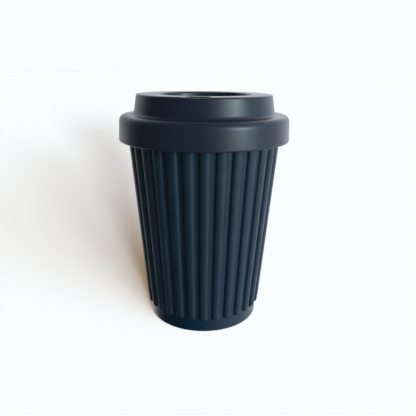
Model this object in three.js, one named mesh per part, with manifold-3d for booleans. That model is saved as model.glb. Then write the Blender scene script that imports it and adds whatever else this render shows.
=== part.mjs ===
// A reusable takeaway coffee cup: ribbed double wall, push-on lid, twist-to-close sip slot.
// Millimetres, +Z up. The origin is the centre of the foot, on the table.
// The sip slot faces -Y.
import * as THREE from 'three';
import { mergeVertices } from 'three/addons/utils/BufferGeometryUtils.js';
import Module from 'manifold-3d';

const wasm = await Module();
wasm.setup();

// Driving dimensions of the cup.
const TOTAL_HEIGHT = 128.9;
const FOOT_RADIUS = 31.9;
const FOOT_BAND_TOP = 8;
const WALL_TAPER = 0.0848;
const WALL_THICKNESS = 1.6;
const SHELL_BOTTOM = 0.5;
const SHELL_TOP = 114.2;
const RIB_COUNT = 30;
const RIB_HEIGHT = 1.8;
const RIB_BOTTOM = 7.5;
const RIB_TOP = 111.7;
const RIB_SHARE = 0.7;
const RIB_ROUND = 1.1;
const MOUTH_RADIUS = 36.4;
const LINER_FLOOR_RADIUS = 26.8;
const LINER_FLOOR = 8.5;
const LINER_THICKNESS = 1.5;
const LINER_BOTTOM = LINER_FLOOR - LINER_THICKNESS;
const RIM_TOP = 116.3;
const RIM_OVERHANG = 0.6;
const WALL_SEAL_INNER = 37.1;
const WALL_SEAL_BOTTOM = 106.5;
const WALL_SEAL_TOP = 108.1;
const CAP_RADIUS = 29.2;
const CAP_BOTTOM = 0.8;
const CAP_LEVEL = 3.6;
const COLLAR_TOP = 5.4;
const COLLAR_THICKNESS = 1.8;
const FOOT_RING_INNER = 22.5;
const FOOT_RING_OUTER = 28;
const FOOT_RING_TOP = 1.9;
const GAP = 0.3;

// Driving dimensions of the lid.
const SKIRT_RADIUS = 47.1;
const SKIRT_BOTTOM = 104.4;
const SKIRT_TOP = 114.9;
const CROWN_BASE_RADIUS = 38.7;
const CROWN_BASE = 118.4;
const CROWN_TOP_RADIUS = 37;
const LID_THICKNESS = 1.8;
const RECESS_RADIUS = 24.6;
const RECESS_FLOOR = 120.4;
const FLANGE_BOTTOM = 106.8;
const FLANGE_INNER = 31.9;
const FLANGE_OUTER = 34.9;
const LID_SEAL_INNER = 33.6;
const LID_SEAL_OUTER = 35.8;
const LID_SEAL_BOTTOM = 108.2;
const LID_SEAL_TOP = 110.2;
const SLOT_RADIUS = 31;
const SLOT_LENGTH = 11.4;
const SLOT_WIDTH = 4.6;
const SCOOP_DEPTH = 0.7;
const VENT_RADIUS = 0.9;
const VENT_DISTANCE = 20;

// Driving dimensions of the twist closure.
const KNOB_RADIUS = 13;
const KNOB_TOP = 122.6;
const GRIP_LENGTH = 22;
const GRIP_WIDTH = 5;
const GRIP_TOP = 126;
const STEM_RADIUS = 4.1;
const STEM_BOTTOM = 112.2;
const STEM_HOLE = 4.5;
const STEM_SEAL_LEVEL = 119.1;
const STEM_SEAL_THICKNESS = 0.84;
const HEX_BOTTOM = 114.6;
const HEX_TOP = 117.2;
const HEX_RADIUS = 3.6;
const CLIP_LEVEL = 113.4;
const CLIP_THICKNESS = 0.8;
const ARM_BOTTOM = 114.8;
const ARM_THICKNESS = 2;
const SHUTTER_HALF_ANGLE = 13;
const SHUTTER_OPEN_ANGLE = -50;
const PLATE_BOTTOM = 124.4;
const PLATE_THICKNESS = 1.2;
const PAD_BOTTOM = PLATE_BOTTOM + PLATE_THICKNESS + GAP;
const PAD_TOP = TOTAL_HEIGHT - LID_THICKNESS - GAP;

const FINE = 60;
const MEDIUM = 48;
const COARSE = 32;
const DEGREE = Math.PI / 180;

const NAVY = { color: '#26303c', roughness: 0.5, metalness: 0 };
const NAVY_LID = { color: '#28323e', roughness: 0.45, metalness: 0 };
const LINER = { color: '#2b333c', roughness: 0.35, metalness: 0 };
const SILICONE = { color: '#1c2127', roughness: 0.75, metalness: 0 };
const STEEL = { color: '#b9bcc0', roughness: 0.3, metalness: 1 };

const part = new THREE.Group();

function addMesh(name, geometry, finish) {
  const mesh = new THREE.Mesh(geometry, new THREE.MeshStandardMaterial(finish));
  mesh.name = name;
  part.add(mesh);
}

// Turns a list of corners, each [radius, height, rounding], into points with rounded corners.
function roundCorners(corners, steps = 3) {
  const points = [];
  const last = corners.length - 1;
  corners.forEach(([x, y, rounding = 0], i) => {
    const corner = new THREE.Vector2(x, y);
    if (rounding === 0) {
      points.push(corner);
      return;
    }
    const before = new THREE.Vector2(...corners[i === 0 ? last : i - 1]);
    const after = new THREE.Vector2(...corners[i === last ? 0 : i + 1]);
    const start = before.sub(corner).setLength(rounding).add(corner);
    const end = after.sub(corner).setLength(rounding).add(corner);
    points.push(...new THREE.QuadraticBezierCurve(start, corner, end).getPoints(steps));
  });
  return points;
}

// A solid of revolution about Z from corners given anticlockwise, radius to the right.
function revolve(corners, segments = FINE, steps = 3) {
  const points = roundCorners(corners, steps);
  const onAxis = points[0].x === 0 && points[points.length - 1].x === 0;
  if (!onAxis) points.push(points[0].clone());
  return new THREE.LatheGeometry(points, segments).rotateX(Math.PI / 2);
}

function toSolid(geometry) {
  const bare = geometry.clone();
  bare.deleteAttribute('normal');
  bare.deleteAttribute('uv');
  const merged = mergeVertices(bare, 1e-4);
  return new wasm.Manifold(new wasm.Mesh({
    numProp: 3,
    vertProperties: new Float32Array(merged.attributes.position.array),
    triVerts: new Uint32Array(merged.index.array),
  }));
}

function fromSolid(solid) {
  const mesh = solid.getMesh();
  const geometry = new THREE.BufferGeometry();
  geometry.setAttribute('position', new THREE.BufferAttribute(mesh.vertProperties, 3));
  geometry.setIndex(new THREE.BufferAttribute(mesh.triVerts, 1));
  return geometry;
}

function join(...geometries) {
  const solids = geometries.map(toSolid);
  return fromSolid(solids.reduce((sum, solid) => sum.add(solid)));
}

function cut(geometry, ...cutters) {
  return fromSolid(cutters.map(toSolid).reduce((left, solid) => left.subtract(solid), toSolid(geometry)));
}

// Radius of the smooth wall between the ribs, and of the drinking liner, at a height.
function wallRadius(height) {
  return FOOT_RADIUS + WALL_TAPER * (height - FOOT_BAND_TOP);
}

function linerRadius(height) {
  const share = (height - LINER_FLOOR) / (SHELL_TOP - LINER_FLOOR);
  return LINER_FLOOR_RADIUS + share * (MOUTH_RADIUS - LINER_FLOOR_RADIUS);
}

// One rib: a tapered strip with a round lower end, leaning with the wall, at the -Y side.
function ribGeometry() {
  const pitch = (2 * Math.PI) / RIB_COUNT;
  const halfWidth = (height) => 0.5 * RIB_SHARE * pitch * (wallRadius(height) + RIB_HEIGHT);
  const low = halfWidth(RIB_BOTTOM);
  const high = halfWidth(RIB_TOP);
  const length = (RIB_TOP - RIB_BOTTOM) * Math.hypot(1, WALL_TAPER);
  const outline = new THREE.Shape();
  outline.moveTo(high, length);
  outline.lineTo(-high, length);
  outline.lineTo(-low, low);
  outline.absarc(0, low, low, Math.PI, 2 * Math.PI);
  outline.closePath();
  const embedded = 1.1;
  const geometry = new THREE.ExtrudeGeometry(outline, {
    depth: RIB_HEIGHT + embedded - 2 * RIB_ROUND,
    curveSegments: 2,
    bevelThickness: RIB_ROUND,
    bevelSize: RIB_ROUND,
    bevelOffset: -RIB_ROUND,
    bevelSegments: 1,
  });
  geometry.translate(0, 0, RIB_ROUND - embedded);
  geometry.rotateX(Math.PI / 2 + Math.atan(WALL_TAPER));
  return geometry.translate(0, -wallRadius(RIB_BOTTOM), RIB_BOTTOM);
}

// The outer wall: a tapered tube with a plain foot band below thirty raised ribs.
function outerShell() {
  const topRadius = wallRadius(SHELL_TOP);
  const ledgeRadius = 29.5;
  const ledgeTop = 3.4;
  const wall = revolve([
    [ledgeRadius, SHELL_BOTTOM],
    [FOOT_RADIUS - 0.1, SHELL_BOTTOM, 0.6],
    [FOOT_RADIUS, FOOT_BAND_TOP],
    [topRadius, SHELL_TOP],
    [topRadius - WALL_THICKNESS, SHELL_TOP],
    [FOOT_RADIUS - WALL_THICKNESS, FOOT_BAND_TOP],
    [FOOT_RADIUS - WALL_THICKNESS, ledgeTop],
    [ledgeRadius, ledgeTop],
  ], FINE, 2);
  const pitch = 360 / RIB_COUNT;
  const ribs = [];
  for (let i = 0; i < RIB_COUNT; i += 1) {
    ribs.push(ribGeometry().rotateZ((i + 0.5) * pitch * DEGREE));
  }
  return join(wall, ...ribs);
}

// The drinking liner: a smooth tapered cup whose rolled rim covers the outer wall's top edge.
function innerCup() {
  const outside = (height) => linerRadius(height) + LINER_THICKNESS;
  const neck = (height) => wallRadius(height) - WALL_THICKNESS - 0.4;
  const flareBottom = 99;
  const neckBottom = 102;
  const grooveBottom = WALL_SEAL_BOTTOM - GAP;
  const grooveTop = WALL_SEAL_TOP + GAP;
  const grooveRadius = WALL_SEAL_INNER - GAP;
  const rimRadius = wallRadius(SHELL_TOP) + RIM_OVERHANG;
  const rimBottom = SHELL_TOP + GAP;
  const rimRound = 1.2;
  const lipBottom = SHELL_TOP - 1;
  return revolve([
    [0, LINER_BOTTOM],
    [outside(LINER_BOTTOM) - 0.5, LINER_BOTTOM, 5],
    [outside(flareBottom), flareBottom],
    [neck(neckBottom), neckBottom],
    [neck(grooveBottom), grooveBottom],
    [grooveRadius, grooveBottom],
    [grooveRadius, grooveTop],
    [neck(grooveTop), grooveTop],
    [neck(rimBottom), rimBottom],
    [rimRadius, rimBottom],
    [rimRadius, RIM_TOP, rimRound],
    [MOUTH_RADIUS, RIM_TOP, rimRound],
    [linerRadius(lipBottom), lipBottom],
    [LINER_FLOOR_RADIUS, LINER_FLOOR, 4],
    [0, LINER_FLOOR],
  ], MEDIUM, 2);
}

// The ring that keeps washing water out of the gap between the two walls.
function wallSeal() {
  const outer = wallRadius(WALL_SEAL_BOTTOM) - WALL_THICKNESS - GAP;
  const round = 0.3;
  return revolve([
    [WALL_SEAL_INNER, WALL_SEAL_BOTTOM, round],
    [outer, WALL_SEAL_BOTTOM, round],
    [outer, WALL_SEAL_TOP, round],
    [WALL_SEAL_INNER, WALL_SEAL_TOP, round],
  ], MEDIUM, 1);
}

// The disc that closes the shell from below, with a collar and a groove for the foot ring.
function baseCap() {
  const grooveInner = FOOT_RING_INNER - GAP;
  const grooveOuter = FOOT_RING_OUTER + GAP;
  const grooveTop = FOOT_RING_TOP + GAP;
  return revolve([
    [0, CAP_BOTTOM],
    [grooveInner, CAP_BOTTOM],
    [grooveInner, grooveTop],
    [grooveOuter, grooveTop],
    [grooveOuter, CAP_BOTTOM],
    [CAP_RADIUS, CAP_BOTTOM],
    [CAP_RADIUS, COLLAR_TOP],
    [CAP_RADIUS - COLLAR_THICKNESS, COLLAR_TOP],
    [CAP_RADIUS - COLLAR_THICKNESS, CAP_LEVEL],
    [0, CAP_LEVEL],
  ], MEDIUM);
}

function footRing() {
  const round = 0.4;
  return revolve([
    [FOOT_RING_INNER, 0, round],
    [FOOT_RING_OUTER, 0, round],
    [FOOT_RING_OUTER, FOOT_RING_TOP],
    [FOOT_RING_INNER, FOOT_RING_TOP],
  ], MEDIUM, 1);
}

// An upright bar with half-round ends, used for the slot and the grip.
function stadium(length, width) {
  const reach = 0.5 * (length - width);
  const shape = new THREE.Shape();
  shape.absarc(reach, 0, 0.5 * width, -Math.PI / 2, Math.PI / 2);
  shape.absarc(-reach, 0, 0.5 * width, Math.PI / 2, 1.5 * Math.PI);
  return shape.closePath();
}

// The lid: skirt, round shoulder, raised crown with a dished top, and a flange inside the mouth.
function lidBody() {
  const skirtInside = SKIRT_RADIUS - 2;
  const shoulderBottom = CROWN_BASE - LID_THICKNESS;
  const shoulderRound = CROWN_BASE - SKIRT_TOP;
  const channelTop = TOTAL_HEIGHT - LID_THICKNESS;
  const floorBottom = RECESS_FLOOR - LID_THICKNESS;
  const bossBottom = floorBottom - 1.2;
  const bossRadius = 7.5;
  const grooveBottom = LID_SEAL_BOTTOM - GAP;
  const grooveTop = LID_SEAL_TOP + GAP;
  const grooveRadius = LID_SEAL_INNER - GAP;
  return revolve([
    [STEM_HOLE, bossBottom],
    [bossRadius, bossBottom],
    [bossRadius, floorBottom],
    [RECESS_RADIUS + 1.2, floorBottom],
    [RECESS_RADIUS + LID_THICKNESS + 0.6, channelTop],
    [CROWN_TOP_RADIUS - LID_THICKNESS - 0.3, channelTop],
    [CROWN_BASE_RADIUS - LID_THICKNESS, CROWN_BASE],
    [FLANGE_INNER, CROWN_BASE],
    [FLANGE_INNER, FLANGE_BOTTOM],
    [FLANGE_OUTER, FLANGE_BOTTOM],
    [FLANGE_OUTER, grooveBottom],
    [grooveRadius, grooveBottom],
    [grooveRadius, grooveTop],
    [FLANGE_OUTER, grooveTop],
    [FLANGE_OUTER, shoulderBottom],
    [skirtInside - 3, shoulderBottom],
    [skirtInside - 0.8, SKIRT_TOP - 0.5],
    [skirtInside, SKIRT_BOTTOM],
    [SKIRT_RADIUS, SKIRT_BOTTOM, 0.5],
    [SKIRT_RADIUS - 0.7, CROWN_BASE - 0.2, shoulderRound],
    [CROWN_BASE_RADIUS, CROWN_BASE, 0.6],
    [CROWN_TOP_RADIUS, TOTAL_HEIGHT, 2],
    [RECESS_RADIUS + 0.6, TOTAL_HEIGHT, 1.5],
    [RECESS_RADIUS, RECESS_FLOOR, 0.8],
    [STEM_HOLE, RECESS_FLOOR],
  ], MEDIUM, 2);
}

// The lid with its sip slot, the scoop for the lips around it, and the vent hole across from it.
function lidShell() {
  const through = 6;
  const slot = new THREE.ExtrudeGeometry(stadium(SLOT_LENGTH, SLOT_WIDTH), {
    depth: through,
    curveSegments: 4,
    bevelEnabled: false,
  });
  slot.translate(0, -SLOT_RADIUS, TOTAL_HEIGHT - LID_THICKNESS - 2);
  const scoopHeight = 1.6;
  const scoop = new THREE.SphereGeometry(1, 24, 12).scale(9.5, 6, scoopHeight);
  scoop.translate(0, -(SLOT_RADIUS + 1), TOTAL_HEIGHT + scoopHeight - SCOOP_DEPTH);
  const vent = new THREE.CylinderGeometry(VENT_RADIUS, VENT_RADIUS, through, 12);
  vent.rotateX(Math.PI / 2).translate(0, VENT_DISTANCE, RECESS_FLOOR);
  return cut(lidBody(), scoop, slot, vent);
}

// The flexible two-lipped ring round the flange, which grips the inside of the cup's mouth.
function lidSeal() {
  const waist = 35.1;
  const lip = LID_SEAL_OUTER - 0.1;
  return revolve([
    [LID_SEAL_INNER, LID_SEAL_BOTTOM],
    [waist, LID_SEAL_BOTTOM],
    [lip, LID_SEAL_BOTTOM + 0.1],
    [waist, LID_SEAL_BOTTOM + 0.8],
    [waist, LID_SEAL_TOP - 0.7],
    [LID_SEAL_OUTER, LID_SEAL_TOP],
    [LID_SEAL_INNER, LID_SEAL_TOP],
  ], MEDIUM);
}

// The knob's disc and its stem, with one groove for the seal and one for the clip.
function knobBody() {
  const discBottom = RECESS_FLOOR + GAP;
  const sealRadius = 3;
  const sealBottom = STEM_SEAL_LEVEL - 0.7;
  const sealTop = STEM_SEAL_LEVEL + 0.7;
  const clipRadius = 2.3;
  const tipRadius = 3.4;
  return revolve([
    [0, STEM_BOTTOM],
    [tipRadius, STEM_BOTTOM, 0.4],
    [tipRadius, CLIP_LEVEL - 0.4],
    [clipRadius, CLIP_LEVEL - 0.4],
    [clipRadius, HEX_BOTTOM - 0.1],
    [sealRadius, HEX_BOTTOM - 0.1],
    [sealRadius, HEX_TOP],
    [STEM_RADIUS, HEX_TOP],
    [STEM_RADIUS, sealBottom],
    [sealRadius, sealBottom],
    [sealRadius, sealTop],
    [STEM_RADIUS, sealTop],
    [STEM_RADIUS, discBottom],
    [KNOB_RADIUS, discBottom, 0.4],
    [KNOB_RADIUS, KNOB_TOP, 0.8],
    [0, KNOB_TOP],
  ], COARSE, 2);
}

function hexBar(radius, bottom, top) {
  const height = top - bottom;
  const bar = new THREE.CylinderGeometry(radius, radius, height, 6).rotateX(Math.PI / 2);
  return bar.translate(0, 0, bottom + 0.5 * height);
}

// The knob in the lid's recess: a disc with a grip bar, and a stem that carries the shutter.
function closureKnob() {
  const round = 0.8;
  const gripBottom = KNOB_TOP - 0.6;
  const grip = new THREE.ExtrudeGeometry(stadium(GRIP_LENGTH, GRIP_WIDTH), {
    depth: GRIP_TOP - gripBottom - round,
    curveSegments: 4,
    bevelThickness: round,
    bevelSize: round,
    bevelOffset: -round,
    bevelSegments: 2,
  });
  grip.rotateZ(Math.PI / 2).translate(0, 0, gripBottom);
  return join(knobBody(), hexBar(HEX_RADIUS, HEX_BOTTOM, HEX_TOP), grip);
}

function shaftSeal() {
  const radius = 0.5 * STEM_SEAL_THICKNESS;
  const middle = 3.75;
  const sides = 8;
  const section = [];
  for (let i = 0; i < sides; i += 1) {
    const angle = (i * 2 * Math.PI) / sides;
    section.push([middle + radius * Math.cos(angle), STEM_SEAL_LEVEL + radius * Math.sin(angle)]);
  }
  return revolve(section, COARSE);
}

// A flat piece of a ring, centred on the shutter's open position.
function ringSector(inner, outer, halfAngle, bottom, top) {
  const start = -Math.PI / 2 + (SHUTTER_OPEN_ANGLE - halfAngle) * DEGREE;
  const end = -Math.PI / 2 + (SHUTTER_OPEN_ANGLE + halfAngle) * DEGREE;
  const shape = new THREE.Shape();
  shape.absarc(0, 0, outer, start, end, false);
  shape.absarc(0, 0, inner, end, start, true);
  shape.closePath();
  const settings = { depth: top - bottom, curveSegments: 5, bevelEnabled: false };
  return new THREE.ExtrudeGeometry(shape, settings).translate(0, 0, bottom);
}

// The arm under the recess: it turns with the stem and rises to the shutter below the slot.
function closureRotor() {
  const hubRadius = 7;
  const armWidth = 9;
  const armStart = 4.4;
  const armEnd = 30.4;
  const postHalfAngle = 8;
  const armTop = ARM_BOTTOM + ARM_THICKNESS;
  const middle = ARM_BOTTOM + 0.5 * ARM_THICKNESS;
  const hub = new THREE.CylinderGeometry(hubRadius, hubRadius, ARM_THICKNESS, 24);
  hub.rotateX(Math.PI / 2).translate(0, 0, middle);
  const arm = new THREE.BoxGeometry(armWidth, armEnd - armStart, ARM_THICKNESS);
  arm.translate(0, -0.5 * (armStart + armEnd), middle).rotateZ(SHUTTER_OPEN_ANGLE * DEGREE);
  const post = ringSector(28.2, 30.6, postHalfAngle, ARM_BOTTOM, PLATE_BOTTOM + 0.5);
  const plateTop = PLATE_BOTTOM + PLATE_THICKNESS;
  const plate = ringSector(28.6, 34, SHUTTER_HALF_ANGLE, PLATE_BOTTOM, plateTop);
  const bore = hexBar(HEX_RADIUS + 0.4, ARM_BOTTOM - 2, armTop + 2);
  return cut(join(hub, arm, post, plate), bore);
}

function shutterPad() {
  return ringSector(28.3, 34.2, SHUTTER_HALF_ANGLE, PAD_BOTTOM, PAD_TOP);
}

// The open spring clip in the stem's groove, which holds the arm up.
function rotorClip() {
  const gapAngle = 0.35;
  const outer = 5;
  const inner = 2.7;
  const shape = new THREE.Shape();
  shape.absarc(0, 0, outer, gapAngle, 2 * Math.PI - gapAngle, false);
  shape.absarc(0, 0, inner, 2 * Math.PI - gapAngle, gapAngle, true);
  shape.closePath();
  const settings = { depth: CLIP_THICKNESS, curveSegments: 10, bevelEnabled: false };
  return new THREE.ExtrudeGeometry(shape, settings).translate(0, 0, CLIP_LEVEL);
}

addMesh('outer_shell', outerShell(), NAVY);
addMesh('inner_cup', innerCup(), LINER);
addMesh('wall_seal', wallSeal(), SILICONE);
addMesh('base_cap', baseCap(), NAVY);
addMesh('foot_ring', footRing(), SILICONE);
addMesh('lid_shell', lidShell(), NAVY_LID);
addMesh('lid_seal', lidSeal(), SILICONE);
addMesh('closure_knob', closureKnob(), NAVY_LID);
addMesh('shaft_seal', shaftSeal(), SILICONE);
addMesh('closure_rotor', closureRotor(), NAVY_LID);
addMesh('shutter_pad', shutterPad(), SILICONE);
addMesh('rotor_clip', rotorClip(), STEEL);

export default part;
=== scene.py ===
"""A ribbed takeaway-style coffee cup with a stepped lid, as fine meshes that stand for the CAD.

Lengths are in millimetres, and MM turns them into Blender's metres. Z is up, and the cup stands
on z = 0 with its axis on the Z axis. The sip slot faces -Y. Profile corners are written as
(radius, z) or (radius, z, rounding).
"""

import math

import bmesh
import bpy
import numpy as np
from mathutils import Euler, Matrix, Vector


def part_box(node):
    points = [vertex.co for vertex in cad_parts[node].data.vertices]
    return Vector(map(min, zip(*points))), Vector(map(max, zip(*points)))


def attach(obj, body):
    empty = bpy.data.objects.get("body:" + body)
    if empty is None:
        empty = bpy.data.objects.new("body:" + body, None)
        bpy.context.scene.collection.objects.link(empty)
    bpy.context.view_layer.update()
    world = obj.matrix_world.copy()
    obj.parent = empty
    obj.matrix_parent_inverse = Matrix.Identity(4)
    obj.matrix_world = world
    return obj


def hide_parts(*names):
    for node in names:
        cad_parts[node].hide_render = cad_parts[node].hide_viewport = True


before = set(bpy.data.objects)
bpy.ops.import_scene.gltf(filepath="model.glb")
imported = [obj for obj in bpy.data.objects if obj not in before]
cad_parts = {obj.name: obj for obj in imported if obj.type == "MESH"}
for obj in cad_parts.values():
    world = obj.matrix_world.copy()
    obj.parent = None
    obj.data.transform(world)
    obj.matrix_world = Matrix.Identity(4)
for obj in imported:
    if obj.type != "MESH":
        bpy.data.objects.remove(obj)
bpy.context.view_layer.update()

MM = 0.001
TAU = 2 * math.pi


def extent(node):
    """Outer radius, lowest and highest z of a CAD node, in millimetres."""
    low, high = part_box(node)
    return high[0] / MM, low[2] / MM, high[2] / MM


SKIRT_RADIUS, SKIRT_BOTTOM, LID_TOP = extent("lid_shell")
RIM_RADIUS, LINER_BOTTOM, RIM_TOP = extent("inner_cup")
SHELL_BOTTOM, SHELL_TOP = extent("outer_shell")[1:]
CAP_RADIUS, CAP_BOTTOM, CAP_TOP = extent("base_cap")
FOOT_OUTER, FOOT_BOTTOM, FOOT_TOP = extent("foot_ring")
KNOB_RADIUS, STEM_BOTTOM, GRIP_TOP = extent("closure_knob")
SEAL_RADIUS, SEAL_BOTTOM, SEAL_TOP = extent("lid_seal")
PAD_BOTTOM, PAD_TOP = extent("shutter_pad")[1:]
ROTOR_BOTTOM, ROTOR_TOP = extent("closure_rotor")[1:]

GAP = 0.3

# The outer wall. RIB_SHARE is how much of the pitch a rib fills, and the foot band ends at
# BAND_TOP, where the wall starts to lean out by WALL_TAPER for each millimetre of height.
RIB_COUNT = 30
RIB_HEIGHT = 1.8
RIB_BOTTOM = 7.5
RIB_TOP = 111.7
RIB_TOP_ROUND = 1.8
RIB_SHARE = 0.7
FOOT_RADIUS = 31.9
FOOT_ROUND = 0.6
BAND_TOP = 8.0
BAND_MIDDLE = 4.0
WALL_TAPER = 0.0848
WALL_THICKNESS = 1.6
CAP_SEAT_TOP = 3.4
CAP_SEAT_RADIUS = 29.5

# The drinking liner, with a groove for the seal between the two walls.
MOUTH_RADIUS = 36.4
LINER_FLOOR = 8.5
LINER_FLOOR_RADIUS = 26.8
LINER_THICKNESS = 1.5
LINER_CLEARANCE = 0.4
NECK_BOTTOM = 102
LINER_GROOVE_BOTTOM = 106.2
LINER_GROOVE_TOP = 108.4
LINER_GROOVE_RADIUS = 36.8

# The base cap, with a groove for the foot ring.
CAP_GROOVE_INNER = 22.2
CAP_GROOVE_OUTER = 28.3
CAP_GROOVE_TOP = 2.2
CAP_PLATE_TOP = 3.6
CAP_LIP_RADIUS = 27.4
FOOT_RING_INNER = 22.5
SOLE_GROOVE_START = 23.6
SOLE_GROOVE_PITCH = 1.1
SOLE_GROOVE_TOP = 0.25

# The lid. Its flange goes into the cup's mouth and carries the lid seal in a groove.
CROWN_BASE = 118.4
CROWN_BASE_RADIUS = 38.7
CROWN_TOP_RADIUS = 37.0
LID_THICKNESS = 1.8
RECESS_RADIUS = 24.6
RECESS_FLOOR = 120.4
SKIRT_THICKNESS = 2
FLANGE_INNER = 31.9
FLANGE_OUTER = 34.9
FLANGE_BOTTOM = 106.8
FLANGE_GROOVE_BOTTOM = 107.9
FLANGE_GROOVE_TOP = 110.5
FLANGE_GROOVE_RADIUS = 33.3
SEAL_INNER = 33.6
BOSS_RADIUS = 7.5
BOSS_HEIGHT = 1.2
STEM_HOLE_RADIUS = 4.5
KNOB_WELL_INNER = 13.2
KNOB_WELL_OUTER = 14.4
KNOB_WELL_DEPTH = 0.3
SLOT_RADIUS = 31.0
SLOT_LENGTH = 11.4
SLOT_WIDTH = 4.6
SLOT_EDGE = 0.55
SCOOP_RADIUS = 33.0
SCOOP_DEPTH = 0.75
SCOOP_REACH_ACROSS = 10.5
SCOOP_REACH_ALONG = 6.5
VENT_RADIUS = 0.9
VENT_EDGE = 0.3
VENT_DISTANCE = 20
MARK_DISTANCE = 18.6

# The closure. The stem has a groove for its seal, a hexagon for the arm and a neck for the clip.
DISC_TOP = 122.6
GRIP_REACH = 8.5
GRIP_RADIUS = 2.4
STEM_RADIUS = 4.1
SHAFT_GROOVE_RADIUS = 3
SHAFT_GROOVE_TOP = 119.8
SHAFT_GROOVE_BOTTOM = 118.4
STEM_SHOULDER = 117.2
HEXAGON_TOP = 117.1
HEXAGON_BOTTOM = 114.7
HEXAGON_REACH = 3.1
CLIP_NECK_RADIUS = 2.3
CLIP_NECK_TOP = 114.5
CLIP_NECK_BOTTOM = 113.0
STEM_END_RADIUS = 3.4
HUB_RADIUS = 7
ARM_THICKNESS = 2
PLATE_THICKNESS = 1.2
PLATE_INNER = 28.6
PLATE_OUTER = 34
POST_OUTER = 30.6
SHUTTER_OPEN = math.radians(-50)
SHUTTER_HALF = math.radians(13)
POST_HALF = math.radians(8)
ARM_HALF = 0.23


# ---------------------------------------------------------------- mesh tools


def finish_mesh(name, verts, faces, sharp_angle=40):
    """A smooth-shaded object from millimetre points; doubles merged and normals turned out."""
    mesh = bpy.data.meshes.new(name)
    mesh.from_pydata([tuple(v) for v in np.asarray(verts) * MM], [], faces)
    bm = bmesh.new()
    bm.from_mesh(mesh)
    bmesh.ops.remove_doubles(bm, verts=bm.verts, dist=1e-7)
    bmesh.ops.dissolve_degenerate(bm, edges=bm.edges, dist=1e-8)
    bmesh.ops.recalc_face_normals(bm, faces=bm.faces)
    bm.to_mesh(mesh)
    bm.free()
    mesh.shade_smooth()
    mesh.set_sharp_from_angle(angle=math.radians(sharp_angle))
    obj = bpy.data.objects.new(name, mesh)
    bpy.context.scene.collection.objects.link(obj)
    return obj


def loft(name, rings, looped=False, sharp_angle=40):
    """A closed skin over rings of equal point counts; looped joins the last ring to the first."""
    count = len(rings[0])
    verts = np.concatenate([np.asarray(r, float) for r in rings])
    pairs = [(i, i + 1) for i in range(len(rings) - 1)]
    if looped:
        pairs.append((len(rings) - 1, 0))
    faces = []
    for a, b in pairs:
        for k in range(count):
            n = (k + 1) % count
            faces.append((a * count + k, a * count + n, b * count + n, b * count + k))
    if not looped:
        faces.append(tuple(range(count)))
        last = (len(rings) - 1) * count
        faces.append(tuple(last + k for k in reversed(range(count))))
    return finish_mesh(name, verts, faces, sharp_angle)


def outline(corners, steps=8, support=0.25):
    """Points of a profile whose rounded corners are turned into smooth bends."""
    points = []
    count = len(corners)
    for i, corner in enumerate(corners):
        here = Vector(corner[:2])
        rounding = corner[2] if len(corner) > 2 else 0
        if rounding == 0:
            points.append(here)
            continue
        before = Vector(corners[i - 1][:2]) - here
        after = Vector(corners[(i + 1) % count][:2]) - here
        start = here + before.normalized() * rounding
        end = here + after.normalized() * rounding
        if before.length > rounding + 2 * support:
            points.append(start + before.normalized() * support)
        for k in range(steps + 1):
            t = k / steps
            points.append(start * (1 - t) ** 2 + here * 2 * t * (1 - t) + end * t**2)
        if after.length > rounding + 2 * support:
            points.append(end + after.normalized() * support)
    return [(p[0], p[1]) for p in points]


def quarter_turn(count):
    """Evenly spaced angles from nothing to a right angle."""
    return [k / (count - 1) * math.pi / 2 for k in range(count)]


def circle(radius, z, count):
    """A level ring of points around the axis."""
    angle = np.arange(count) * TAU / count
    return np.stack([radius * np.cos(angle), radius * np.sin(angle), np.full(count, z)], axis=1)


def turned(name, corners, count=240, steps=8, sharp_angle=40):
    """A solid of revolution from profile corners, closed on itself or on the axis."""
    smallest = 1e-5
    points = outline(corners, steps)
    rings = [circle(max(r, smallest), z, count) for r, z in points]
    on_axis = corners[0][0] == 0 and corners[-1][0] == 0
    return loft(name, rings, looped=not on_axis, sharp_angle=sharp_angle)


def stadium(reach, radius, z, count=96):
    """A level ring with half-round ends and straight sides along Y, whose half-length is reach."""
    angle = np.arange(count) * TAU / count
    x = radius * np.cos(angle)
    y = radius * np.sin(angle) + reach * np.clip(np.sin(angle) * 3, -1, 1)
    return np.stack([x, y, np.full(count, z)], axis=1)


def carve(target, cutter):
    """Cuts the cutter out of the target and removes the cutter."""
    change = target.modifiers.new("cut", "BOOLEAN")
    change.operation = "DIFFERENCE"
    change.solver = "EXACT"
    change.object = cutter
    bake_modifiers(target)
    bpy.data.objects.remove(cutter)


def weld(target, extra):
    """Joins the extra piece to the target and removes the extra."""
    change = target.modifiers.new("join", "BOOLEAN")
    change.operation = "UNION"
    change.solver = "EXACT"
    change.object = extra
    bake_modifiers(target)
    bpy.data.objects.remove(extra)


def bake_modifiers(obj):
    """Applies an object's modifiers and shades the new mesh."""
    graph = bpy.context.evaluated_depsgraph_get()
    mesh = bpy.data.meshes.new_from_object(obj.evaluated_get(graph))
    obj.modifiers.clear()
    obj.data = mesh
    mesh.shade_smooth()
    mesh.set_sharp_from_angle(angle=math.radians(32))


def wall_radius(z):
    """The outer wall's radius between the ribs."""
    return FOOT_RADIUS + WALL_TAPER * (z - BAND_TOP)


def liner_radius(z):
    """The drinking space's radius."""
    share = (z - LINER_FLOOR) / (SHELL_TOP - LINER_FLOOR)
    return LINER_FLOOR_RADIUS + share * (MOUTH_RADIUS - LINER_FLOOR_RADIUS)


# ---------------------------------------------------------------- materials


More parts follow.
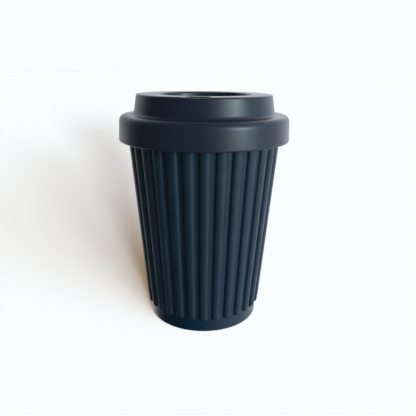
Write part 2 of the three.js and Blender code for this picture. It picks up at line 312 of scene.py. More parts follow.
NAVY = (0.003, 0.0245, 0.052)
NAVY_LID = (0.012, 0.0235, 0.045)
NAVY_LINER = (0.018, 0.027, 0.038)
NAVY_ROTOR = (0.017, 0.026, 0.037)
RUBBER_BLACK = (0.010, 0.013, 0.018)
STEEL_DARK = (0.42, 0.43, 0.44)
STEEL_LIGHT = (0.66, 0.67, 0.68)
DUST_GREY = (0.12, 0.13, 0.14)
LINT_GREY = (0.16, 0.16, 0.16)
PLASTIC_IOR = 1.46
SILICONE_IOR = 1.41
BAND_SMOOTHNESS = 0.19
RANGE_SOCKETS = ("From Min", "From Max", "To Min", "To Max")


class Nodes:
    """A small helper that adds and links the nodes of one material."""

    def __init__(self, name):
        """Starts a material whose textures are laid out in the object's own space."""
        self.material = bpy.data.materials.new(name)
        self.material.use_nodes = True
        self.tree = self.material.node_tree
        self.shader = self.tree.nodes["Principled BSDF"]
        self.place = self.add("ShaderNodeTexCoord").outputs["Object"]

    def add(self, kind, **settings):
        """A new node with some of its properties set."""
        node = self.tree.nodes.new(kind)
        for key, value in settings.items():
            setattr(node, key, value)
        return node

    def link(self, source, target):
        """Joins an output socket to an input socket."""
        self.tree.links.new(source, target)

    def noise(self, size_mm, detail=3.0, roughness=0.55, stretch=None):
        """A noise value whose features are about size_mm across."""
        node = self.add("ShaderNodeTexNoise")
        node.inputs["Scale"].default_value = 1 / (size_mm * MM)
        node.inputs["Detail"].default_value = detail
        node.inputs["Roughness"].default_value = roughness
        place = self.place
        if stretch:
            mapping = self.add("ShaderNodeMapping")
            mapping.inputs["Scale"].default_value = stretch
            self.link(place, mapping.inputs["Vector"])
            place = mapping.outputs["Vector"]
        self.link(place, node.inputs["Vector"])
        return node.outputs["Fac"]

    def remap(self, value, low, high, to_low, to_high):
        """The value moved from one range to another, and held inside it."""
        node = self.add("ShaderNodeMapRange")
        for key, number in zip(RANGE_SOCKETS, (low, high, to_low, to_high)):
            node.inputs[key].default_value = number
        self.link(value, node.inputs["Value"])
        return node.outputs["Result"]

    def math(self, operation, a, b):
        """Arithmetic on two sockets or numbers."""
        node = self.add("ShaderNodeMath", operation=operation)
        for socket, value in zip(node.inputs, (a, b)):
            if isinstance(value, (int, float)):
                socket.default_value = value
            else:
                self.link(value, socket)
        return node.outputs[0]

    def blend(self, factor, a, b):
        """The colour a where the factor is 0, and b where it's 1."""
        node = self.add("ShaderNodeMix", data_type="RGBA")
        self.link(factor, node.inputs["Factor"])
        for key, value in (("A", a), ("B", b)):
            socket = [s for s in node.inputs if s.name == key and s.type == "RGBA"][0]
            if isinstance(value, tuple):
                socket.default_value = (*value, 1)
            else:
                self.link(value, socket)
        return [s for s in node.outputs if s.type == "RGBA"][0]

    def bump(self, height, depth_mm, strength=1.0, below=None):
        """A normal for fine relief, which may lie over coarser relief."""
        node = self.add("ShaderNodeBump")
        node.inputs["Distance"].default_value = depth_mm * MM
        node.inputs["Strength"].default_value = strength
        self.link(height, node.inputs["Height"])
        if below:
            self.link(below, node.inputs["Normal"])
        return node.outputs["Normal"]


def moulded_plastic(
    name, colour, roughness, crest_wear=0.0, grain_depth=0.012, dust=0.25, smooth_below=0.0
):
    """Matte moulded plastic with grain, faint mottling, smudges, rubbed edges and a little dust.

    crest_wear rubs the places that the mesh marks as crests. Below the height smooth_below the
    surface is smoother, which is for the foot band.
    """
    n = Nodes(name)
    lighter = tuple(c * 1.14 + 0.0008 for c in colour)
    darker = tuple(c * 0.92 for c in colour)
    worn = tuple(c * 1.5 + 0.005 for c in colour)
    mottle = n.remap(n.noise(14, 4), 0.3, 0.7, 0, 1)
    shade = n.blend(mottle, darker, lighter)
    fleck = n.remap(n.noise(0.7, 2), 0.62, 0.72, 0, 0.35)
    shade = n.blend(fleck, shade, lighter)
    edge = n.add("ShaderNodeNewGeometry").outputs["Pointiness"]
    rubbed = n.remap(edge, 0.52, 0.6, 0, 0.5)
    if crest_wear:
        attribute = n.add("ShaderNodeAttribute", attribute_name="crest").outputs["Fac"]
        patches = n.remap(n.noise(6, 5), 0.42, 0.68, 0, crest_wear)
        rubbed = n.math("MAXIMUM", rubbed, n.math("MULTIPLY", attribute, patches))
    shade = n.blend(rubbed, shade, worn)
    specks = n.remap(n.noise(0.35, 1), 0.74, 0.78, 0, dust)
    shade = n.blend(specks, shade, DUST_GREY)
    n.link(shade, n.shader.inputs["Base Color"])
    smudge = n.remap(n.noise(22, 5, 0.6), 0.35, 0.68, roughness - 0.05, roughness + 0.05)
    polished = n.math("SUBTRACT", smudge, n.math("MULTIPLY", rubbed, 0.1))
    if smooth_below:
        height = n.add("ShaderNodeSeparateXYZ")
        n.link(n.place, height.inputs[0])
        low, high = smooth_below * MM, (smooth_below + 1) * MM
        band = n.remap(height.outputs["Z"], low, high, BAND_SMOOTHNESS, 0)
        polished = n.math("SUBTRACT", polished, band)
    n.link(polished, n.shader.inputs["Roughness"])
    waves = n.bump(n.noise(9, 2), 0.03, 0.5)
    grain = n.bump(n.noise(0.22, 2, 0.7), grain_depth, 0.8, waves)
    n.link(grain, n.shader.inputs["Normal"])
    n.shader.inputs["IOR"].default_value = PLASTIC_IOR
    return n.material


def silicone(name, colour, roughness=0.62):
    """Soft rubbery silicone: satin, with a powdery film and lint."""
    n = Nodes(name)
    film = n.remap(n.noise(4, 5, 0.65), 0.38, 0.7, 0, 0.6)
    shade = n.blend(film, colour, tuple(c * 1.6 + 0.004 for c in colour))
    lint = n.remap(n.noise(0.4, 1, stretch=(1, 0.35, 1)), 0.73, 0.77, 0, 0.5)
    shade = n.blend(lint, shade, LINT_GREY)
    n.link(shade, n.shader.inputs["Base Color"])
    touched = n.remap(n.noise(10, 3), 0.3, 0.7, roughness - 0.07, roughness + 0.07)
    n.link(touched, n.shader.inputs["Roughness"])
    n.link(n.bump(n.noise(0.5, 3), 0.01, 0.6), n.shader.inputs["Normal"])
    n.shader.inputs["IOR"].default_value = SILICONE_IOR
    n.shader.inputs["Sheen Weight"].default_value = 0.15
    n.shader.inputs["Sheen Roughness"].default_value = 0.5
    return n.material


def spring_steel(name):
    """Brushed stainless strip."""
    n = Nodes(name)
    streaks = n.noise(0.5, 3, stretch=(1, 1, 12))
    shade = n.blend(streaks, STEEL_DARK, STEEL_LIGHT)
    n.link(shade, n.shader.inputs["Base Color"])
    n.link(n.remap(streaks, 0.3, 0.7, 0.24, 0.4), n.shader.inputs["Roughness"])
    n.link(n.bump(streaks, 0.004, 0.5), n.shader.inputs["Normal"])
    n.shader.inputs["Metallic"].default_value = 1
    return n.material


shell_plastic = moulded_plastic("shell_plastic", NAVY, 0.5, crest_wear=0.35, smooth_below=BAND_TOP)
base_plastic = moulded_plastic("base_plastic", NAVY, 0.5)
liner_plastic = moulded_plastic("liner_plastic", NAVY_LINER, 0.36, grain_depth=0.004, dust=0.1)
lid_plastic = moulded_plastic("lid_plastic", NAVY_LID, 0.36)
knob_plastic = moulded_plastic("knob_plastic", NAVY_LID, 0.42)
rotor_plastic = moulded_plastic("rotor_plastic", NAVY_ROTOR, 0.38, dust=0.1)
black_silicone = silicone("black_silicone", RUBBER_BLACK)
clip_steel = spring_steel("clip_steel")


def place(obj, body, slot, material, *nodes):
    """Dresses a piece, rides it on its body and lets it stand for its CAD nodes."""
    obj.data.materials.clear()
    obj.data.materials.append(material)
    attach(obj, body)
    if nodes:
        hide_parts(*nodes)


# ---------------------------------------------------------------- the cup


def rib_section():
    """The rib's height share against the distance from its middle line, 1 being its half-width."""
    turn = np.linspace(0, math.radians(80), 40)
    distance = list(0.98 * np.sin(turn))
    height = list(np.cos(turn) ** 0.85)
    start = np.array([distance[-1], height[-1]])
    corner = np.array([1.0, 0.0])
    end = np.array([1.14, 0.0])
    for t in np.linspace(0.1, 1, 10):
        point = start * (1 - t) ** 2 + corner * 2 * t * (1 - t) + end * t**2
        distance.append(point[0])
        height.append(point[1])
    return np.array(distance), np.array(height)


def rib_half_width(z):
    """Half a rib's width, measured along the circle of the crests."""
    return 0.5 * RIB_SHARE * TAU / RIB_COUNT * (wall_radius(z) + RIB_HEIGHT)


def rib_rows(end_centre, end_radius):
    """The heights of the wall's rings, close together at the ribs' two ends."""
    end_rows = end_centre - end_radius * np.sin(np.linspace(1, -0.1, 16) * math.pi / 2)
    below = [RIB_BOTTOM - share * end_radius for share in (0.14, 0.07, 0.02)]
    middle_rows = np.linspace(end_centre + 3, RIB_TOP - RIB_TOP_ROUND - 1, 20)
    top_shares = np.array([1, 0.8, 0.6, 0.42, 0.28, 0.16, 0.08, 0.03, 0.005, 0, -0.3])
    top_rows = RIB_TOP - RIB_TOP_ROUND * top_shares
    return [BAND_MIDDLE, *below, *end_rows, *middle_rows, *top_rows, SHELL_TOP - 0.4]


def ribbed_wall():
    """The outer wall: a tapered tube with raised, round-ended ribs above a plain foot band."""
    section = rib_section()
    pitch = TAU / RIB_COUNT
    inner_steps = np.array(
        [0, 0.16, 0.32, 0.47, 0.6, 0.71, 0.8, 0.87, 0.92, 0.955, 0.98, 1.0, 1.03, 1.07, 1.14]
    )
    reach = inner_steps[-1]
    half_pitch = 1 / RIB_SHARE
    steps = np.concatenate([inner_steps, [reach + 0.2, half_pitch]])
    end_radius = rib_half_width(RIB_BOTTOM)
    end_centre = RIB_BOTTOM + end_radius

    def ring(z, base, ribs=True):
        """Angles and radii all the way round at a height, over a wall of the base radius."""
        width = rib_half_width(z)
        drop = max(0.0, end_centre - z)
        local = math.sqrt(max(width**2 - drop**2, 0)) if drop else width
        sampled = max(local, 0.3 * width)
        between = np.interp(steps, [reach, half_pitch], [reach * sampled, width / RIB_SHARE])
        across = np.where(steps <= reach, steps * sampled, between)
        far = np.hypot(across, drop) / width
        fade = min(max((RIB_TOP - z) / RIB_TOP_ROUND, 0), 1)
        full_height = RIB_HEIGHT if ribs else 0
        height = np.interp(far, *section, right=0) * full_height * math.sqrt(1 - (1 - fade) ** 2)
        angle = across / (wall_radius(z) + RIB_HEIGHT)
        angle = np.concatenate([angle, -angle[-2:0:-1]])
        height = np.concatenate([height, height[-2:0:-1]])
        centres = (np.arange(RIB_COUNT) + 0.5) * pitch - TAU / 4
        theta = (centres[:, None] + angle[None, :]).ravel()
        radius = base + np.tile(height, RIB_COUNT)
        order = np.argsort(theta % TAU)
        return theta[order] % TAU, radius[order]

    foot = outline([
        (CAP_SEAT_RADIUS, SHELL_BOTTOM),
        (FOOT_RADIUS - 0.1, SHELL_BOTTOM, FOOT_ROUND),
        (FOOT_RADIUS, BAND_MIDDLE),
    ], 8)[:-1]
    inside = outline([
        (wall_radius(SHELL_TOP), SHELL_TOP, 0.35),
        (wall_radius(SHELL_TOP) - WALL_THICKNESS, SHELL_TOP, 0.35),
        (FOOT_RADIUS - WALL_THICKNESS, BAND_TOP),
        (FOOT_RADIUS - WALL_THICKNESS, CAP_SEAT_TOP),
        (CAP_SEAT_RADIUS, CAP_SEAT_TOP),
    ], 3)
    above_the_ends = 60
    plain_angles = ring(above_the_ends, 0)[0]
    rings = []
    crest = []

    def add_plain(radius, z):
        rings.append([(radius * math.cos(t), radius * math.sin(t), z) for t in plain_angles])
        crest.append(np.zeros(len(plain_angles)))

    for radius, z in foot:
        add_plain(radius, z)
    for z in rib_rows(end_centre, end_radius):
        base = wall_radius(z) if z > BAND_TOP else FOOT_RADIUS
        theta, radius = ring(z, base, z > RIB_BOTTOM - 1)
        rings.append([(r * math.cos(t), r * math.sin(t), z) for t, r in zip(theta, radius)])
        crest.append((radius - base) / RIB_HEIGHT)
    for radius, z in inside:
        add_plain(radius, z)
    obj = loft("ribbed_wall", rings, looped=True, sharp_angle=60)
    marks = obj.data.attributes.new("crest", "FLOAT", "POINT")
    marks.data.foreach_set("value", np.concatenate(crest).astype(np.float32))
    return obj


def liner():
    """The drinking liner with its rolled rim, its seal groove and its rounded floor."""
    taper_top = 99
    neck = [wall_radius(z) - WALL_THICKNESS - LINER_CLEARANCE for z in (
        NECK_BOTTOM, LINER_GROOVE_BOTTOM, LINER_GROOVE_TOP, SHELL_TOP + GAP
    )]
    floor_crown = LINER_FLOOR + 0.5
    return turned("drinking_liner", [
        (0, LINER_BOTTOM),
        (liner_radius(LINER_BOTTOM) + LINER_THICKNESS - 0.5, LINER_BOTTOM, 5),
        (liner_radius(taper_top) + LINER_THICKNESS, taper_top, 1),
        (neck[0], NECK_BOTTOM, 1),
        (neck[1], LINER_GROOVE_BOTTOM),
        (LINER_GROOVE_RADIUS, LINER_GROOVE_BOTTOM),
        (LINER_GROOVE_RADIUS, LINER_GROOVE_TOP),
        (neck[2], LINER_GROOVE_TOP),
        (neck[3], SHELL_TOP + GAP, 0.2),
        (RIM_RADIUS, SHELL_TOP + GAP, 0.5),
        (RIM_RADIUS, RIM_TOP, 1.0),
        (MOUTH_RADIUS, RIM_TOP, 1.3),
        (liner_radius(SHELL_TOP - 1), SHELL_TOP - 1, 0.8),
        (LINER_FLOOR_RADIUS, LINER_FLOOR, 4.5),
        (10, floor_crown, 3),
        (0, floor_crown),
    ], 180)


def base_cap():
    """The closing disc: a shallow dish with a fine ring and a moulding gate in the middle."""
    dish = CAP_BOTTOM + 0.9
    ring_bottom = CAP_BOTTOM + 0.6
    gate_bottom = CAP_BOTTOM + 1.0
    gate_groove = CAP_BOTTOM + 1.5
    return turned("base_disc", [
        (0, gate_bottom),
        (1.3, gate_bottom, 0.2),
        (1.6, gate_groove, 0.2),
        (2.6, gate_groove, 0.3),
        (3.2, dish, 0.3),
        (12.0, dish, 0.2),
        (12.2, ring_bottom, 0.15),
        (13.0, ring_bottom, 0.15),
        (13.2, dish, 0.2),
        (19.0, dish, 0.5),
        (20.0, CAP_BOTTOM, 0.5),
        (CAP_GROOVE_INNER, CAP_BOTTOM, 0.25),
        (CAP_GROOVE_INNER, CAP_GROOVE_TOP),
        (CAP_GROOVE_OUTER, CAP_GROOVE_TOP),
        (CAP_GROOVE_OUTER, CAP_BOTTOM, 0.2),
        (CAP_RADIUS, CAP_BOTTOM, 0.25),
        (CAP_RADIUS, CAP_TOP, 0.3),
        (CAP_LIP_RADIUS, CAP_TOP, 0.3),
        (CAP_LIP_RADIUS, CAP_PLATE_TOP, 0.3),
        (0, CAP_PLATE_TOP),
    ], 180, steps=4)


def foot_ring():
    """The non-slip ring, with shallow round grooves in its sole."""
    half_groove = 0.3
    grooves = []
    for groove in range(4):
        middle = SOLE_GROOVE_START + groove * SOLE_GROOVE_PITCH
        grooves += [
            (middle - half_groove, FOOT_BOTTOM, 0.1),
            (middle, SOLE_GROOVE_TOP, 0.1),
            (middle + half_groove, FOOT_BOTTOM, 0.1),
        ]
    return turned("sole_ring", [
        (FOOT_RING_INNER, FOOT_BOTTOM, 0.35),
        *grooves,
        (FOOT_OUTER, FOOT_BOTTOM, 0.35),
        (FOOT_OUTER, FOOT_TOP, 0.2),
        (FOOT_RING_INNER, FOOT_TOP, 0.2),
    ], 180, steps=3)


# ---------------------------------------------------------------- the lid


def lid_profile():
    """The lid's section, from the stem hole along the underside to the skirt and back on top."""
    skirt_inside = SKIRT_RADIUS - SKIRT_THICKNESS
    floor_bottom = RECESS_FLOOR - LID_THICKNESS
    boss_bottom = floor_bottom - BOSS_HEIGHT
    channel_top = LID_TOP - LID_THICKNESS
    shoulder_bottom = CROWN_BASE - LID_THICKNESS
    well_floor = RECESS_FLOOR - KNOB_WELL_DEPTH
    rim_inner = RECESS_RADIUS + 0.6
    # The flat rim gets rings of its own, which the scoop around the slot needs.
    flat_rim = [(rim_inner + 2 + k * 0.55, LID_TOP) for k in reversed(range(14))]
    return [
        (STEM_HOLE_RADIUS, boss_bottom, 0.2),
        (BOSS_RADIUS, boss_bottom, 0.5),
        (BOSS_RADIUS, floor_bottom, 0.4),
        (RECESS_RADIUS + 1.2, floor_bottom, 1.2),
        (RECESS_RADIUS + LID_THICKNESS + 0.6, channel_top, 0.8),
        (CROWN_TOP_RADIUS - LID_THICKNESS - 0.3, channel_top, 1.2),
        (CROWN_BASE_RADIUS - LID_THICKNESS, CROWN_BASE, 0.4),
        (FLANGE_INNER, CROWN_BASE, 0.4),
        (FLANGE_INNER, FLANGE_BOTTOM, 0.3),
        (FLANGE_OUTER, FLANGE_BOTTOM, 0.5),
        (FLANGE_OUTER, FLANGE_GROOVE_BOTTOM, 0.1),
        (FLANGE_GROOVE_RADIUS, FLANGE_GROOVE_BOTTOM, 0.1),
        (FLANGE_GROOVE_RADIUS, FLANGE_GROOVE_TOP, 0.1),
        (FLANGE_OUTER, FLANGE_GROOVE_TOP, 0.1),
        (FLANGE_OUTER, shoulder_bottom, 0.5),
        (skirt_inside - 1.2, shoulder_bottom, 3),
        (skirt_inside, SKIRT_BOTTOM, 0.4),
        (SKIRT_RADIUS, SKIRT_BOTTOM, 0.9),
        (SKIRT_RADIUS - 0.7, CROWN_BASE - 0.2, 3.6),
        (CROWN_BASE_RADIUS, CROWN_BASE, 1.8),
        (CROWN_TOP_RADIUS, LID_TOP, 1.1),
        *flat_rim,
        (rim_inner, LID_TOP, 1.4),
        (RECESS_RADIUS, RECESS_FLOOR, 1.0),
        (KNOB_WELL_OUTER, RECESS_FLOOR, 0.3),
        (KNOB_WELL_OUTER - 0.2, well_floor, 0.2),
        (KNOB_WELL_INNER + 0.2, well_floor, 0.2),
        (KNOB_WELL_INNER, RECESS_FLOOR, 0.3),
        (STEM_HOLE_RADIUS, RECESS_FLOOR, 0.2),
    ]


def dip_for_lips(obj):
    """Lowers the rim round the sip slot into a shallow scoop that runs out over the outer edge.

    The underside stays flat, because the shutter slides along it.
    """
    full_from = 1.2
    underside = LID_TOP - LID_THICKNESS + 0.1
    for vertex in obj.data.vertices:
        x, y, z = (c / MM for c in vertex.co)
        if y > 0 or z < underside:
            continue
        across = x / SCOOP_REACH_ACROSS
        along = (math.hypot(x, y) - SCOOP_RADIUS) / SCOOP_REACH_ALONG
        away = math.hypot(across, along)
        if away >= 1:
            continue
        share = min(1.0, (z - underside) / full_from)
        vertex.co.z -= SCOOP_DEPTH * share * (0.5 + 0.5 * math.cos(math.pi * away)) * MM


def slot_cutter():
    """The sip slot's cutter: it flares at the top, so that the slot gets a rounded edge."""
    reach = 0.5 * (SLOT_LENGTH - SLOT_WIDTH)
    radius = 0.5 * SLOT_WIDTH
    surface = LID_TOP - SLOT_EDGE
    rings = [stadium(reach, radius, LID_TOP - 4)]
    for turn in quarter_turn(7):
        flare = SLOT_EDGE * (1 - math.cos(turn))
        height = surface - SLOT_EDGE * (1 - math.sin(turn))
        rings.append(stadium(reach, radius + flare, height))
    rings.append(stadium(reach, radius + SLOT_EDGE + 0.02, LID_TOP + 2))
    placed = []
    for ring in rings:
        placed.append(np.stack([ring[:, 1], ring[:, 0] - SLOT_RADIUS, ring[:, 2]], axis=1))
    return loft("slot_cutter", placed)


def vent_cutter():
    """The vent hole's cutter, across from the slot, with the same kind of rounded edge."""
    count = 40
    rings = [circle(VENT_RADIUS, RECESS_FLOOR - depth, count) for depth in (4, VENT_EDGE)]
    for turn in quarter_turn(5)[1:]:
        radius = VENT_RADIUS + VENT_EDGE * (1 - math.cos(turn))
        rings.append(circle(radius, RECESS_FLOOR - VENT_EDGE * (1 - math.sin(turn)), count))
    rings.append(circle(VENT_RADIUS + VENT_EDGE + 0.01, RECESS_FLOOR + 2, count))
    return loft("vent_cutter", [ring + np.array([0, VENT_DISTANCE, 0]) for ring in rings])


def lid():
    """The stepped lid with its scoop, sip slot and vent hole."""
    obj = turned("stepped_lid", lid_profile(), 300)
    dip_for_lips(obj)
    carve(obj, slot_cutter())
    carve(obj, vent_cutter())
    return obj


def lid_mark(name, angle, hollow):
    """A small moulded sign on the recess floor: a ring for open, a dot for shut."""
    where = MARK_DISTANCE * np.array([math.sin(angle), -math.cos(angle), 0])
    sunk = RECESS_FLOOR - 0.2
    raised = RECESS_FLOOR + 0.3
    if hollow:
        profile = [(0.9, sunk), (1.6, sunk), (1.5, raised, 0.15), (1.0, raised, 0.15)]
    else:
        profile = [(0, sunk), (1.3, sunk), (1.2, raised, 0.2), (0, raised + 0.05)]
    obj = turned(name, profile, 48, steps=3)
    for vertex in obj.data.vertices:
        vertex.co += Vector(where * MM)
    return obj


def lid_seal():
    """The two-lipped ring on the flange."""
    waist = FLANGE_OUTER + 0.2
    return turned("lip_seal", [
        (SEAL_INNER, SEAL_BOTTOM, 0.1),
        (35.0, SEAL_BOTTOM, 0.1),
        (35.7, SEAL_BOTTOM + 0.1, 0.1),
        (waist, SEAL_BOTTOM + 0.85, 0.3),
        (waist, SEAL_TOP - 0.75, 0.3),
        (SEAL_RADIUS, SEAL_TOP, 0.1),
        (SEAL_INNER, SEAL_TOP, 0.1),
    ], 240, steps=4)


# ---------------------------------------------------------------- the closure


def grip_rings(count):
    """The grip bar: a flat top with a rounded edge, then straight sides that flare to the disc."""
    edge = 0.9
    foot = 0.7
    rings = [stadium(GRIP_REACH, radius, GRIP_TOP, count) for radius in (0.05, 0.9)]
    for turn in quarter_turn(7):
        radius = GRIP_RADIUS - edge + edge * math.sin(turn)
        rings.append(stadium(GRIP_REACH, radius, GRIP_TOP - edge * (1 - math.cos(turn)), count))
    for turn in quarter_turn(7):
        radius = GRIP_RADIUS + 0.15 + foot * (1 - math.cos(turn))
        height = DISC_TOP + foot * (1 - math.sin(turn))
        rings.append(stadium(GRIP_REACH, radius, height, count))
    return rings


def hexagon_rings(count):
    """The six-sided length of the stem that turns the arm."""
    angle = np.arange(count) * TAU / count
    sixth = (angle + TAU / 12) % (TAU / 6) - TAU / 12
    hexagon = np.stack([np.cos(angle), np.sin(angle), np.zeros(count)], axis=1)
    hexagon[:, :2] *= (HEXAGON_REACH / np.cos(sixth))[:, None]
    return [hexagon + [0, 0, HEXAGON_TOP], hexagon + [0, 0, HEXAGON_BOTTOM]]


def knob():
    """The knob as one skin, from the grip bar's top down over the disc and the stem."""
    count = 144
    disc_bottom = RECESS_FLOOR + GAP
    rings = grip_rings(count)
    wide = stadium(GRIP_REACH, 3.5, DISC_TOP, count)
    edge = circle(KNOB_RADIUS - 0.9, DISC_TOP, count)
    for share in (0, 0.5, 0.9):
        rings.append(wide * (1 - share) + edge * share)
    disc_and_stem = outline([
        (KNOB_RADIUS - 2, DISC_TOP),
        (KNOB_RADIUS, DISC_TOP, 0.8),
        (KNOB_RADIUS, disc_bottom, 0.3),
        (STEM_RADIUS, disc_bottom, 0.2),
        (STEM_RADIUS, SHAFT_GROOVE_TOP, 0.1),
        (SHAFT_GROOVE_RADIUS, SHAFT_GROOVE_TOP, 0.1),
        (SHAFT_GROOVE_RADIUS, SHAFT_GROOVE_BOTTOM, 0.1),
        (STEM_RADIUS, SHAFT_GROOVE_BOTTOM, 0.1),
        (STEM_RADIUS, STEM_SHOULDER, 0.3),
    ], 4)[1:]
    clip_neck = outline([
        (CLIP_NECK_RADIUS, CLIP_NECK_TOP),
        (CLIP_NECK_RADIUS, CLIP_NECK_BOTTOM),
        (STEM_END_RADIUS, CLIP_NECK_BOTTOM, 0.1),
        (STEM_END_RADIUS, STEM_BOTTOM, 0.3),
        (0.02, STEM_BOTTOM),
    ], 4)
    rings += [circle(radius, z, count) for radius, z in disc_and_stem]
    rings += hexagon_rings(count)
    rings += [circle(radius, z, count) for radius, z in clip_neck]
    return loft("twist_knob", rings, sharp_angle=35)


def sector(name, inner, outer, half_angle, low, high, rounding, count=40):
    """A rounded slab shaped as a piece of a ring, centred on the shutter's open position."""
    middle = 0.5 * (inner + outer)

    def ring(inset, z):
        points = []
        half_w = half_angle * middle - inset
        half_d = 0.5 * (outer - inner) - inset
        corner = min(1.2, half_d * 0.8)
        for quarter, (sx, sy) in enumerate(((1, 1), (-1, 1), (-1, -1), (1, -1))):
            for k in range(count // 4):
                turn = (quarter + k / (count // 4 - 1)) * math.pi / 2
                s = sx * (half_w - corner) + corner * math.cos(turn)
                d = sy * (half_d - corner) + corner * math.sin(turn)
                angle = SHUTTER_OPEN + s / middle
                points.append(((middle + d) * math.sin(angle), -(middle + d) * math.cos(angle), z))
        return points

    rings = []
    for turn in quarter_turn(5):
        inset = rounding * (1 - math.sin(turn))
        rings.append(ring(inset, low + rounding * (1 - math.cos(turn))))
    for turn in quarter_turn(5):
        inset = rounding * (1 - math.cos(turn))
        rings.append(ring(inset, high - rounding * (1 - math.sin(turn))))
    return loft(name, rings)


def rotor():
    """The arm under the recess, with its hub, post and shutter plate."""
    hub_bore = 4.1
    top = ROTOR_BOTTOM + ARM_THICKNESS
    plate_bottom = ROTOR_TOP - PLATE_THICKNESS
    hub = turned("rotor_arm", [
        (hub_bore, ROTOR_BOTTOM, 0.2),
        (HUB_RADIUS, ROTOR_BOTTOM, 0.4),
        (HUB_RADIUS, top, 0.4),
        (hub_bore, top, 0.2),
    ], 96, steps=4)
    # Each piece goes a little way into its neighbour, so that the three join into one.
    weld(hub, sector("arm", 6.0, 30.5, ARM_HALF, ROTOR_BOTTOM + 0.1, top - 0.1, 0.4))
    weld(hub, sector("post", 28.2, POST_OUTER, POST_HALF, ROTOR_BOTTOM + 0.3, ROTOR_TOP - 0.4, 0.3))
    weld(hub, sector("plate", PLATE_INNER, PLATE_OUTER, SHUTTER_HALF, plate_bottom, ROTOR_TOP, 0.3))
    return hub


def shutter_pad():
    """The soft pad on the shutter plate, a little larger than the plate."""
    inner = PLATE_INNER - 0.3
    outer = PLATE_OUTER + 0.2
    return sector("shutter_seal", inner, outer, SHUTTER_HALF, PAD_BOTTOM, PAD_TOP, 0.3)


def build_object():
    """Makes every piece, dresses it and puts it on its body."""
    place(ribbed_wall(), "cup", "shell", shell_plastic, "outer_shell")
    place(liner(), "cup", "liner", liner_plastic, "inner_cup")
    place(base_cap(), "cup", "base", base_plastic, "base_cap")
    place(foot_ring(), "cup", "silicone", black_silicone, "foot_ring")
    place(lid(), "lid", "lid", lid_plastic, "lid_shell")
    place(lid_mark("mark_open", 0, True), "lid", "lid", lid_plastic)
    place(lid_mark("mark_shut", -SHUTTER_OPEN, False), "lid", "lid", lid_plastic)
    place(lid_seal(), "lid", "silicone", black_silicone, "lid_seal")
    place(knob(), "closure", "knob", knob_plastic, "closure_knob")
    place(rotor(), "closure", "rotor", rotor_plastic, "closure_rotor")
    place(shutter_pad(), "closure", "silicone", black_silicone, "shutter_pad")
    kept_from_cad = {
        "wall_seal": black_silicone,
        "shaft_seal": black_silicone,
        "rotor_clip": clip_steel,
    }
    for node, material in kept_from_cad.items():
        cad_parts[node].material_slots[0].material = material


# ---------------------------------------------------------------- stage, light and camera

# Distances are in millimetres and angles in degrees. The lens is for a 36 mm wide sensor.
CAMERA_AZIMUTH = 5.5
CAMERA_DISTANCE = 248.75
CAMERA_HEIGHT = 140.25
CAMERA_PITCH = 17.14
CAMERA_YAW = 0.57
CAMERA_ROLL = 0.5
CAMERA_LENS = 38.17
SENSOR_WIDTH = 36

# The floor's colour is mostly its own glow, which keeps its shadow pale.
PAPER_WHITE = (0.957, 0.976, 0.99)
PAPER_GLOW = (0.26, 0.17, 0.08)
PAPER_GREY = (0.08, 0.08, 0.08)
FLOOR_REACH = 60

# Each of these is a colour, the azimuth and elevation of its bright side, the strength away from
# there and at it, and the cosines between which one turns into the other.
AMBIENT = ((1.0, 0.98, 0.96), 120, 0, 0.35, 0.75, -0.7, 0.9)
MIRRORED_BEHIND = ((0.92, 0.98, 1.06), 180, 0, 0.01, 1.05, 0.1, 0.85)
MIRRORED_RIGHT = ((0.92, 0.97, 1.02), 85, 0, 0.01, 0.8, 0.0, 0.9)
MIRRORED_ABOVE = ((0.94, 0.99, 1.03), 171, 27, 0.0, 0.75, 0.86, 0.99)

# Each light is an azimuth, an elevation, a strength, the angle it spans and a colour.
WINDOW = (53, 9, 1.1, 14, (0.75, 1.0, 1.05))
WINDOW_SIDE = (42, 11, 0.7, 26, (0.95, 0.97, 0.92))

# The floor's own light comes in even steps from low and strong to high, broad, weak and bluer.
# Each step gives the floor FLOOR_FADE of what the step before it gives, and FLOOR_SUM in all.
FLOOR_STEPS = 6
FLOOR_SUM = 30
FLOOR_FADE = 0.6
FLOOR_AZIMUTH = 17
FLOOR_AZIMUTH_STEP = 10
FLOOR_ELEVATION = 5
FLOOR_ELEVATION_STEP = 4
FLOOR_SPREAD = 9
FLOOR_SPREAD_STEP = 4
FLOOR_RED = 0.87
FLOOR_RED_STEP = -0.015
FLOOR_BLUE = 1.07
FLOOR_BLUE_STEP = 0.055


def facing(azimuth, elevation):
    """The unit vector towards a far light, whose azimuth goes right from the first view's."""
    turn = math.radians(azimuth + CAMERA_AZIMUTH)
    rise = math.radians(elevation)
    level = math.cos(rise)
    return Vector((math.sin(turn) * level, -math.cos(turn) * level, math.sin(rise)))


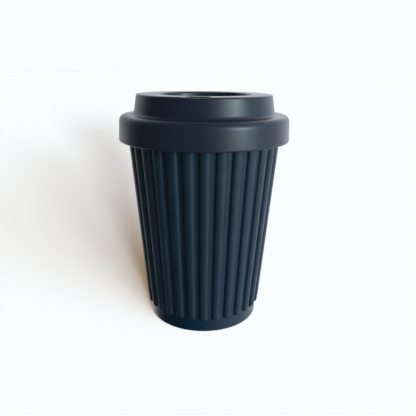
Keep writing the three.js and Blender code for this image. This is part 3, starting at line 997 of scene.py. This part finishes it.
def white_surround():
    """The room: plain white past the floor, and a softly graded light on the cup.

    Its diffuse light is brightest to the right and a little behind. Its mirrored light is bright
    behind the cup, to the right and in a patch above, and dark in front.
    """
    world = bpy.data.worlds.new("surround")
    bpy.context.scene.world = world
    world.use_nodes = True
    tree = world.node_tree
    tree.nodes.clear()

    def background(colour):
        node = tree.nodes.new("ShaderNodeBackground")
        node.inputs["Color"].default_value = (*colour, 1)
        return node

    def choose(factor, first, second):
        node = tree.nodes.new("ShaderNodeMixShader")
        tree.links.new(factor, node.inputs["Fac"])
        tree.links.new(first.outputs[0], node.inputs[1])
        tree.links.new(second.outputs[0], node.inputs[2])
        return node

    def graded(colour, azimuth, elevation, dark, bright, start, end):
        towards = tree.nodes.new("ShaderNodeTexCoord")
        along = tree.nodes.new("ShaderNodeVectorMath")
        along.operation = "DOT_PRODUCT"
        along.inputs[1].default_value = facing(azimuth, elevation)
        tree.links.new(towards.outputs["Generated"], along.inputs[0])
        level = tree.nodes.new("ShaderNodeMapRange")
        level.interpolation_type = "SMOOTHSTEP"
        for key, value in zip(RANGE_SOCKETS, (start, end, dark, bright)):
            level.inputs[key].default_value = value
        tree.links.new(along.outputs["Value"], level.inputs["Value"])
        node = background(colour)
        tree.links.new(level.outputs["Result"], node.inputs["Strength"])
        return node

    def add(first, second):
        node = tree.nodes.new("ShaderNodeAddShader")
        tree.links.new(first.outputs[0], node.inputs[0])
        tree.links.new(second.outputs[0], node.inputs[1])
        return node

    path = tree.nodes.new("ShaderNodeLightPath")
    mirrored = add(add(graded(*MIRRORED_BEHIND), graded(*MIRRORED_RIGHT)), graded(*MIRRORED_ABOVE))
    lit = choose(path.outputs["Is Glossy Ray"], graded(*AMBIENT), mirrored)
    output = tree.nodes.new("ShaderNodeOutputWorld")
    seen = choose(path.outputs["Is Camera Ray"], lit, background(PAPER_WHITE))
    tree.links.new(seen.outputs[0], output.inputs["Surface"])


def pale_floor():
    """A wide pale floor that takes the shadow and doesn't mirror in the cup."""
    mesh = bpy.data.meshes.new("floor")
    bm = bmesh.new()
    bmesh.ops.create_circle(bm, cap_ends=True, radius=FLOOR_REACH, segments=96)
    bm.to_mesh(mesh)
    bm.free()
    floor = bpy.data.objects.new("floor", mesh)
    bpy.context.scene.collection.objects.link(floor)
    n = Nodes("floor_paper")
    n.shader.inputs["Base Color"].default_value = (*PAPER_GREY, 1)
    n.shader.inputs["Roughness"].default_value = 0.9
    n.shader.inputs["Specular IOR Level"].default_value = 0
    n.shader.inputs["Emission Color"].default_value = (*PAPER_GLOW, 1)
    n.shader.inputs["Emission Strength"].default_value = 1
    mesh.materials.append(n.material)
    floor.visible_glossy = False
    floor.visible_diffuse = False
    return floor


def sun(name, azimuth, elevation, strength, angle, colour, only_on=None):
    """A broad far light, which may be kept off everything but one object."""
    data = bpy.data.lights.new(name, "SUN")
    data.energy = strength
    data.angle = math.radians(angle)
    data.color = colour
    lamp = bpy.data.objects.new(name, data)
    bpy.context.scene.collection.objects.link(lamp)
    lamp.rotation_euler = facing(azimuth, elevation).to_track_quat("Z", "Y").to_euler()
    if only_on:
        receivers = bpy.data.collections.new(name + "_receivers")
        receivers.objects.link(only_on)
        receivers.objects.link(lamp)
        lamp.light_linking.receiver_collection = receivers


def floor_lights(floor):
    """The lights that reach only the floor, each turned and raised by a step from the last."""
    shares = [FLOOR_FADE**step for step in range(FLOOR_STEPS)]
    for step, share in enumerate(shares):
        azimuth = FLOOR_AZIMUTH + FLOOR_AZIMUTH_STEP * step
        elevation = FLOOR_ELEVATION + FLOOR_ELEVATION_STEP * step
        on_floor = FLOOR_SUM * share / sum(shares)
        strength = on_floor / math.sin(math.radians(elevation))
        spread = FLOOR_SPREAD + FLOOR_SPREAD_STEP * step
        colour = (FLOOR_RED + FLOOR_RED_STEP * step, 1.0, FLOOR_BLUE + FLOOR_BLUE_STEP * step)
        sun(f"floor_light_{step}", azimuth, elevation, strength, spread, colour, only_on=floor)


def camera():
    """The first view's camera, a little above the cup and to the right of the sip slot."""
    data = bpy.data.cameras.new("camera")
    data.lens = CAMERA_LENS
    data.sensor_width = SENSOR_WIDTH
    data.clip_start = 0.01
    obj = bpy.data.objects.new("camera", data)
    bpy.context.scene.collection.objects.link(obj)
    bpy.context.scene.camera = obj
    turn = math.radians(CAMERA_AZIMUTH)
    away = CAMERA_DISTANCE * MM
    obj.location = (away * math.sin(turn), -away * math.cos(turn), CAMERA_HEIGHT * MM)
    roll = Euler((0, 0, math.radians(CAMERA_ROLL))).to_quaternion()
    heading = turn - math.radians(CAMERA_YAW)
    aim = Euler((math.radians(90 - CAMERA_PITCH), 0, heading)).to_quaternion()
    obj.rotation_euler = (aim @ roll).to_euler()


build_object()
white_surround()
floor = pale_floor()
sun("window", *WINDOW)
sun("window_side", *WINDOW_SIDE)
floor_lights(floor)
camera()
bpy.context.scene.view_settings.view_transform = "Standard"
